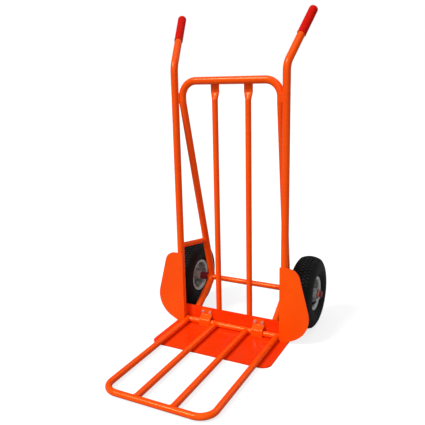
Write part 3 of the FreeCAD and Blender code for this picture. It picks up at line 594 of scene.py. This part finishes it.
def grip(side):
    """Fluted rubber sleeve with a raised lip and a round closed end, on the CAD grip's own axis."""
    rims = edge_loops("grip_" + side)
    tube_ends = edge_loops("upright_" + side)
    start = path_centre(resampled(rims[0], True))
    top_end = max((path_centre(resampled(loop, True)) for loop in tube_ends), key=lambda place: place.z)
    along = (top_end - start).normalized()
    tip = max((vertex.co - start).dot(along) for vertex in frame["nodes"]["grip_" + side].data.vertices)
    bore_radius = path_length(resampled(rims[1], True)) / (2 * math.pi) + GRIP_BORE_CLEARANCE
    across = along.orthogonal().normalized()
    upward = along.cross(across)
    vertices = []
    profile = grip_profile(tip, bore_radius)
    for reach, radius, flute in profile:
        for step in range(GRIP_SEGMENTS):
            angle = 2 * math.pi * step / GRIP_SEGMENTS
            wave = (1 - math.cos(GRIP_FLUTE_COUNT * angle)) / 2
            r = radius - GRIP_FLUTE_DEPTH * flute * wave ** 3
            vertices.append(start + along * reach + (across * math.cos(angle) + upward * math.sin(angle)) * r)
    faces = grid_faces(len(profile), GRIP_SEGMENTS, False, True)
    last = (len(profile) - 1) * GRIP_SEGMENTS
    faces.append(tuple(range(last, last + GRIP_SEGMENTS)))
    piece = new_piece("fluted_grip_" + side, vertices, faces, MATERIALS["grip_rubber"], "root")
    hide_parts("grip_" + side)


# ---------------------------------------------------------------- weld beads

class Bead:
    """Collects rippled weld beads into one mesh."""

    def __init__(self):
        self.vertices = []
        self.faces = []

    def ring(self, centre, first, second, radius):
        for index in range(WELD_SIDES):
            angle = 2 * math.pi * index / WELD_SIDES
            offset = first * math.cos(angle) + second * math.sin(angle)
            self.vertices.append(centre + offset * radius)

    def add(self, path, closed, radius=WELD_RADIUS):
        points = resampled(path, closed)
        count = len(points)
        middle = path_centre(points)
        total = path_length(points)
        ripples = max(1, round(total / WELD_RIPPLE_PITCH))
        base = len(self.vertices)
        for index, place in enumerate(points):
            before = points[index - 1] if closed or index else place
            after = points[(index + 1) % count] if closed or index < count - 1 else place
            tangent = (after - before).normalized()
            guide = place - middle if closed else tangent.orthogonal()
            first = (guide - tangent * guide.dot(tangent)).normalized()
            second = tangent.cross(first)
            swell = abs(math.sin(math.pi * ripples * index / count))
            size = radius * (1 - WELD_RIPPLE + WELD_RIPPLE * swell)
            if not closed:
                from_end = min(index, count - 1 - index) * WELD_STEP
                rise = math.sqrt(min(1.0, from_end / (WELD_END_LENGTH * radius)))
                size *= min(1.0, WELD_END_SIZE + (1 - WELD_END_SIZE) * rise)
            self.ring(place, first, second, size)
        for face in grid_faces(count, WELD_SIDES, closed, True):
            self.faces.append(tuple(base + index for index in face))
        if not closed:
            last = base + (count - 1) * WELD_SIDES
            self.faces.append(tuple(base + index for index in reversed(range(WELD_SIDES))))
            self.faces.append(tuple(last + index for index in range(WELD_SIDES)))

    def finish(self, name, body, slot):
        return new_piece(name, self.vertices, self.faces, MATERIALS[slot], body, sharp_angle=60)


def between_tubes(first, second, radius, bottom, top, bead_radius):
    """Vertical lines in the two hollows between a pair of upright tubes that touch."""
    span = second - first
    reach = radius + bead_radius * WELD_SINK
    out = Vector((-span.y, span.x, 0)).normalized() * math.sqrt(reach ** 2 - (span.length / 2) ** 2)
    lines = []
    for sign in (-1, 1):
        foot = first + span / 2 + out * sign
        lines.append([Vector((foot.x, foot.y, bottom)), Vector((foot.x, foot.y, top))])
    return lines


def hollow_offset(tube_radius, plane_distance, bead_radius):
    """Sideways distance from a tube's axis to a bead in the hollow between the tube and a plate."""
    sink = bead_radius * WELD_SINK
    return math.sqrt((tube_radius + sink) ** 2 - (plane_distance - sink) ** 2)


def strut_welds():
    beads = Bead()
    for side in SIDES:
        for loop in edge_loops("side_strut_" + side)[:2]:
            beads.add(loop, True)
    beads.finish("strut_welds", "root", "frame_paint")


def inner_part(loop):
    """The stretch of a closed path that stays clear of the path's outermost side."""
    points = resampled(loop, True)
    outermost = max(range(len(points)), key=lambda index: abs(points[index].x))
    points = points[outermost:] + points[:outermost]
    limit = abs(points[0].x) - FORK_WELD_INSET
    return [place for place in points if abs(place.x) < limit]


def fork_welds():
    """Beads where the loop and bars meet the crossbar, open where the fork passes the uprights."""
    beads = Bead()
    for end in edge_loops("fork_loop")[:2]:
        beads.add(inner_part(end), False, FORK_WELD_RADIUS)
    for node in ("fork_bar_left", "fork_bar_right"):
        for loop in edge_loops(node)[:2]:
            beads.add(loop, True, FORK_WELD_RADIUS)
    beads.finish("fork_welds", "fork", "fork_paint")


def foot_welds():
    """Beads around the feet of the braces and uprights, and up the flange's ends."""
    beads = Bead()
    for loop in edge_loops("hoop_brace")[:2]:
        beads.add(loop, True)
    plate_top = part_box("upright_right")[0].z
    flange_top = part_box("toe_plate")[1].z
    for side, sign in SIDES.items():
        foot = min(edge_loops("upright_" + side)[:2], key=lambda loop: path_centre(loop).z)
        beads.add(foot, True, FOOT_WELD_RADIUS)
        centre = path_centre(foot)
        for inward, back in FLANGE_WELD_PLACES:
            x = centre.x - sign * inward
            y = centre.y + back
            beads.add([Vector((x, y, plate_top + FLANGE_WELD_START)),
                       Vector((x, y, flange_top - WELD_END_GAP))], False)
    beads.finish("foot_welds", "root", "frame_paint")


def bar_welds():
    """Beads up both sides of each frame bar's foot, and along its flat top behind the hoop."""
    beads = Bead()
    flange_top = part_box("toe_plate")[1].z
    hoop_low, hoop_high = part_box("hoop_brace")
    for side in SIDES:
        low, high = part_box("frame_bar_" + side)
        middle = (low.x + high.x) / 2
        offset = hollow_offset(BAR_TUBE_RADIUS, BAR_TUBE_RADIUS, WELD_RADIUS)
        y = low.y + WELD_RADIUS * WELD_SINK
        for sign in (-1, 1):
            x = middle + sign * offset
            beads.add([Vector((x, y, low.z + WELD_END_GAP)),
                       Vector((x, y, flange_top - WELD_END_GAP))], False)
        hoop_z = hoop_high.z - FRAME_TUBE_RADIUS
        flat_y = hoop_low.y + 2 * FRAME_TUBE_RADIUS + WELD_GAP - WELD_RADIUS * WELD_SINK
        drop = hollow_offset(FRAME_TUBE_RADIUS, FRAME_TUBE_RADIUS + WELD_GAP, WELD_RADIUS)
        for sign in (-1, 1):
            z = hoop_z + sign * drop
            beads.add([Vector((low.x + FLAT_WELD_INSET, flat_y, z)),
                       Vector((high.x - FLAT_WELD_INSET, flat_y, z))], False)
    beads.finish("bar_welds", "root", "frame_paint")


def hoop_welds():
    """Heavy beads in front of and behind each hoop leg where it lies against its upright."""
    beads = Bead()
    low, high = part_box("hoop_brace")
    for side, sign in SIDES.items():
        leg = Vector((sign * (high.x - FRAME_TUBE_RADIUS), low.y + FRAME_TUBE_RADIUS, 0))
        upright_axis = Vector((upright_axis_x(side), 0, 0))
        for line in between_tubes(upright_axis, leg, FRAME_TUBE_RADIUS, HOOP_WELD_BOTTOM, HOOP_WELD_TOP,
                                  HOOP_WELD_RADIUS):
            beads.add(line, False, HOOP_WELD_RADIUS)
    beads.finish("hoop_welds", "root", "frame_paint")


def upright_axis_x(side):
    foot = min(edge_loops("upright_" + side), key=lambda loop: path_centre(loop).z)
    return path_centre(foot).x


def guard_welds():
    """Short beads that hold each wheel guard to its upright and to the toe plate."""
    beads = Bead()
    for side, sign in SIDES.items():
        low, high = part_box("wheel_guard_" + side)
        axis_x = upright_axis_x(side)
        offset = hollow_offset(FRAME_TUBE_RADIUS, -high.y, WELD_RADIUS)
        y = high.y + WELD_RADIUS * WELD_SINK
        for share in GUARD_WELD_SHARES:
            middle = low.z + (high.z - low.z) * share
            for way in (-1, 1):
                x = axis_x + way * offset
                beads.add([Vector((x, y, middle - GUARD_WELD_REACH)),
                           Vector((x, y, middle + GUARD_WELD_REACH))], False)
        z = low.z + WELD_RADIUS * WELD_SINK
        start = axis_x + sign * GUARD_FOOT_WELD_START
        beads.add([Vector((start, y, z)), Vector((start + sign * GUARD_FOOT_WELD_LENGTH, y, z))], False)
    beads.finish("guard_welds", "root", "frame_paint")


# ---------------------------------------------------------------- stage

def camera():
    data = bpy.data.cameras.new("photo_camera")
    data.lens = CAMERA_LENS
    data.sensor_width = SENSOR_WIDTH
    data.clip_start = 0.01
    data.clip_end = 100.0
    view = bpy.data.objects.new("photo_camera", data)
    view.matrix_world = (Matrix.Translation(CAMERA_PLACE) @ Matrix.Rotation(CAMERA_YAW, 4, "Z")
                         @ Matrix.Rotation(math.pi / 2 + CAMERA_PITCH, 4, "X")
                         @ Matrix.Rotation(CAMERA_ROLL, 4, "Z"))
    bpy.context.scene.collection.objects.link(view)
    bpy.context.scene.camera = view


def soft_sun(name, bearing, height, strength, spread):
    """Even light from a compass bearing and a height above the horizon, both in degrees."""
    data = bpy.data.lights.new(name, "SUN")
    data.energy = strength
    data.angle = math.radians(spread)
    light = bpy.data.objects.new(name, data)
    light.rotation_euler = (math.radians(90 - height), 0.0, math.radians(bearing))
    bpy.context.scene.collection.objects.link(light)


def background(tree, strength):
    made = tree.nodes.new("ShaderNodeBackground")
    made.inputs["Color"].default_value = (1.0, 1.0, 1.0, 1.0)
    made.inputs["Strength"].default_value = strength
    return made.outputs["Background"]


def white_surroundings():
    """White backdrop that lights the truck evenly but gives only faint reflections."""
    world = bpy.data.worlds.new("white_studio")
    world.use_nodes = True
    tree = world.node_tree
    rays = tree.nodes.new("ShaderNodeLightPath")
    shown = background(tree, WORLD_FILL)
    for ray, strength in (("Is Glossy Ray", WORLD_REFLECTION), ("Is Camera Ray", 1.0)):
        mix = tree.nodes.new("ShaderNodeMixShader")
        tree.links.new(rays.outputs[ray], mix.inputs["Fac"])
        tree.links.new(shown, mix.inputs[1])
        tree.links.new(background(tree, strength), mix.inputs[2])
        shown = mix.outputs["Shader"]
    tree.links.new(shown, tree.nodes["World Output"].inputs["Surface"])
    bpy.context.scene.world = world


def studio_floor():
    """Floor that looks white but throws little light back up at the truck."""
    finish = Finish("pale_floor")
    shade = finish.mix(finish.noise(3.0), (FLOOR_SHADE, FLOOR_SHADE, FLOOR_SHADE),
                       (FLOOR_SHADE * 0.97, FLOOR_SHADE * 0.97, FLOOR_SHADE * 0.97))
    finish.set(Base_Color=shade, Roughness=0.95, Specular_IOR_Level=0.0)
    glow = finish.node("ShaderNodeEmission", Strength=FLOOR_GLOW).outputs["Emission"]
    lit = finish.tree.nodes.new("ShaderNodeAddShader")
    finish.put(lit.inputs[0], finish.shader.outputs["BSDF"])
    finish.put(lit.inputs[1], glow)
    rays = finish.node("ShaderNodeLightPath")
    shown = finish.node("ShaderNodeMixShader", Fac=rays.outputs["Is Camera Ray"])
    finish.put(shown.inputs[1], finish.shader.outputs["BSDF"])
    finish.put(shown.inputs[2], lit.outputs["Shader"])
    finish.put(finish.tree.nodes["Material Output"].inputs["Surface"], shown.outputs["Shader"])
    mesh = bpy.data.meshes.new("studio_floor")
    mesh.from_pydata([(-FLOOR_REACH, -FLOOR_REACH, 0), (FLOOR_REACH, -FLOOR_REACH, 0),
                      (FLOOR_REACH, FLOOR_REACH, 0), (-FLOOR_REACH, FLOOR_REACH, 0)],
                     [], [(0, 1, 2, 3)])
    mesh.materials.append(finish.material)
    floor = bpy.data.objects.new("studio_floor", mesh)
    bpy.context.scene.collection.objects.link(floor)


def studio():
    """Pale floor, white surroundings and soft lights."""
    bpy.context.scene.view_settings.view_transform = "Standard"
    studio_floor()
    white_surroundings()
    for light in LIGHTS:
        soft_sun(*light)


camera()
dress_frame()
for wheel_side in SIDES:
    tyre(wheel_side)
    grip(wheel_side)
strut_welds()
fork_welds()
foot_welds()
bar_welds()
hoop_welds()
guard_welds()
studio()
